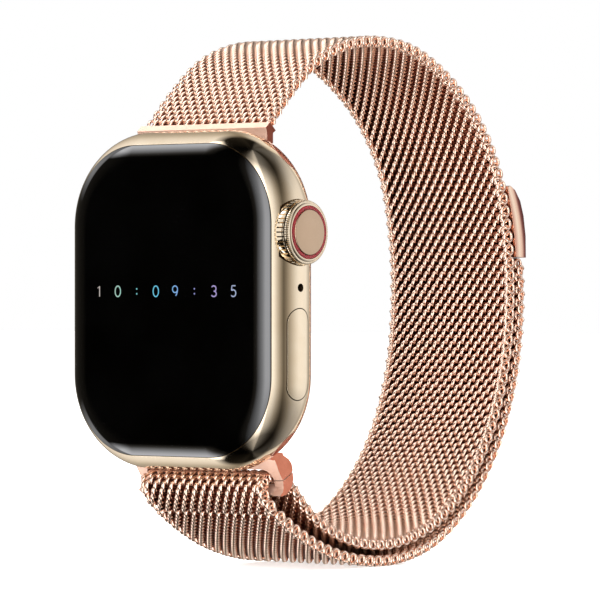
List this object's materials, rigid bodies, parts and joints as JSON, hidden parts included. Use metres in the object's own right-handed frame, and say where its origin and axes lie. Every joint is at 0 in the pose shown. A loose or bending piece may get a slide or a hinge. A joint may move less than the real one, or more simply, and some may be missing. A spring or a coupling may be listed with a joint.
{
  "type": "smartwatch",
  "caption": "Smartwatch with a polished metal case, curved crystal, turning crown and side button, on a woven metal loop strap with a magnetic clasp.",
  "frame": {"origin": "centre of the flat of the back crystal, the face that rests on the wrist", "axes": "+Z to twelve o'clock, +X to the crown, -Y out of the display; the strap loops out to +Y"},
  "size_m": [0.0365, 0.0588, 0.0658],
  "materials": {
    "case_gold": "polished",
    "rose_gold": "polished",
    "crystal": "polished",
    "red_ring": "gloss",
    "steel": "satin",
    "brass": "satin",
    "copper": "enamelled winding",
    "magnet": "plated",
    "rubber": "matt",
    "board": "solder mask",
    "dark": "matt",
    "ceramic": "polished"
  },
  "bodies": {
    "case": {"case_housing": "case_gold", "front_crystal": "crystal", "display_gasket": "rubber", "display_panel": "dark", "display_shield": "steel", "battery": "dark", "logic_module": "board", "speaker": "dark", "microphone": "steel", "haptic_housing": "steel", "haptic_cover": "steel", "back_cover": "ceramic", "back_gasket": "rubber", "back_crystal": "crystal", "sensor_board": "board", "charging_coil": "copper", "alignment_magnet": "magnet", "crown_bushing": "brass", "crown_seal": "rubber", "encoder_sensor": "dark", "crown_switch": "brass", "crown_bracket": "steel", "side_button_bracket": "steel", "side_button_switch": "brass"},
    "crown_carrier": {"crown_slide_plate": "steel"},
    "crown": {"crown_knob": "case_gold", "crown_ring": "red_ring", "crown_cap": "case_gold", "crown_shaft": "steel", "encoder_wheel": "steel"},
    "side_button": {"side_button_cap": "case_gold", "side_button_clip": "steel"},
    "actuator": {"haptic_mass": "magnet"},
    "release_upper": {"release_button_upper": "case_gold"},
    "release_lower": {"release_button_lower": "case_gold"},
    "band": {"upper_lug": "rose_gold", "lower_lug": "rose_gold", "lower_lug_bar": "rose_gold", "strap_loop": "rose_gold"},
    "latch_upper": {"lug_latch_upper": "steel"},
    "latch_lower": {"lug_latch_lower": "steel"},
    "tail_1": {"strap_tail_1": "rose_gold"},
    "tail_2": {"strap_tail_2": "rose_gold"},
    "tail_3": {"strap_tail_3": "rose_gold"},
    "tail_4": {"strap_tail_4": "rose_gold"},
    "tail_5": {"strap_tail_5": "rose_gold", "clasp_shell": "rose_gold", "clasp_magnet": "magnet", "clasp_plate": "rose_gold"}
  },
  "joints": [
    {"name": "crown_press", "type": "slide", "parent": "case", "child": "crown_carrier", "axis": [-1, 0, 0], "range_m": [0, 0.00025], "stiffness_N_per_m": 400},
    {"name": "crown_spin", "type": "hinge", "parent": "crown_carrier", "child": "crown", "pos_m": [0.0175, -0.00625, 0.00805], "axis": [1, 0, 0], "continuous": true},
    {"name": "side_button_press", "type": "slide", "parent": "case", "child": "side_button", "axis": [-1, 0, 0], "range_m": [0, 0.00025], "stiffness_N_per_m": 300},
    {"name": "haptic_shake", "type": "slide", "parent": "case", "child": "actuator", "axis": [1, 0, 0], "range_m": [-0.0008, 0.0008], "stiffness_N_per_m": 300},
    {"name": "release_upper_press", "type": "slide", "parent": "case", "child": "release_upper", "axis": [0, -1, 0], "range_m": [0, 0.0004], "stiffness_N_per_m": 200},
    {"name": "release_lower_press", "type": "slide", "parent": "case", "child": "release_lower", "axis": [0, -1, 0], "range_m": [0, 0.0004], "stiffness_N_per_m": 200},
    {"name": "band_slide", "type": "slide", "parent": "case", "child": "band", "axis": [1, 0, 0], "range_m": [-0.024, 0.024]},
    {"name": "latch_upper_press", "type": "slide", "parent": "band", "child": "latch_upper", "axis": [0, -1, 0], "range_m": [0, 0.0004]},
    {"name": "latch_lower_press", "type": "slide", "parent": "band", "child": "latch_lower", "axis": [0, -1, 0], "range_m": [0, 0.0004]},
    {"name": "tail_peel", "type": "hinge", "parent": "band", "child": "tail_1", "pos_m": [0, -0.00125, -0.0257], "axis": [-1, 0, 0], "range_deg": [0, 12]},
    {"name": "tail_flex_2", "type": "hinge", "parent": "tail_1", "child": "tail_2", "pos_m": [0, 0.01236, -0.0316], "axis": [-1, 0, 0], "range_deg": [0, 12]},
    {"name": "tail_flex_3", "type": "hinge", "parent": "tail_2", "child": "tail_3", "pos_m": [0, 0.02715, -0.03116], "axis": [-1, 0, 0], "range_deg": [0, 12]},
    {"name": "tail_flex_4", "type": "hinge", "parent": "tail_3", "child": "tail_4", "pos_m": [0, 0.03931, -0.02283], "axis": [-1, 0, 0], "range_deg": [0, 12]},
    {"name": "tail_flex_5", "type": "hinge", "parent": "tail_4", "child": "tail_5", "pos_m": [0, 0.04605, -0.00963], "axis": [-1, 0, 0], "range_deg": [0, 12]}
  ],
  "couplings": [
    {"joint": "latch_upper_press", "follows": "release_upper_press", "ratio": 1},
    {"joint": "latch_lower_press", "follows": "release_lower_press", "ratio": 1}
  ]
}
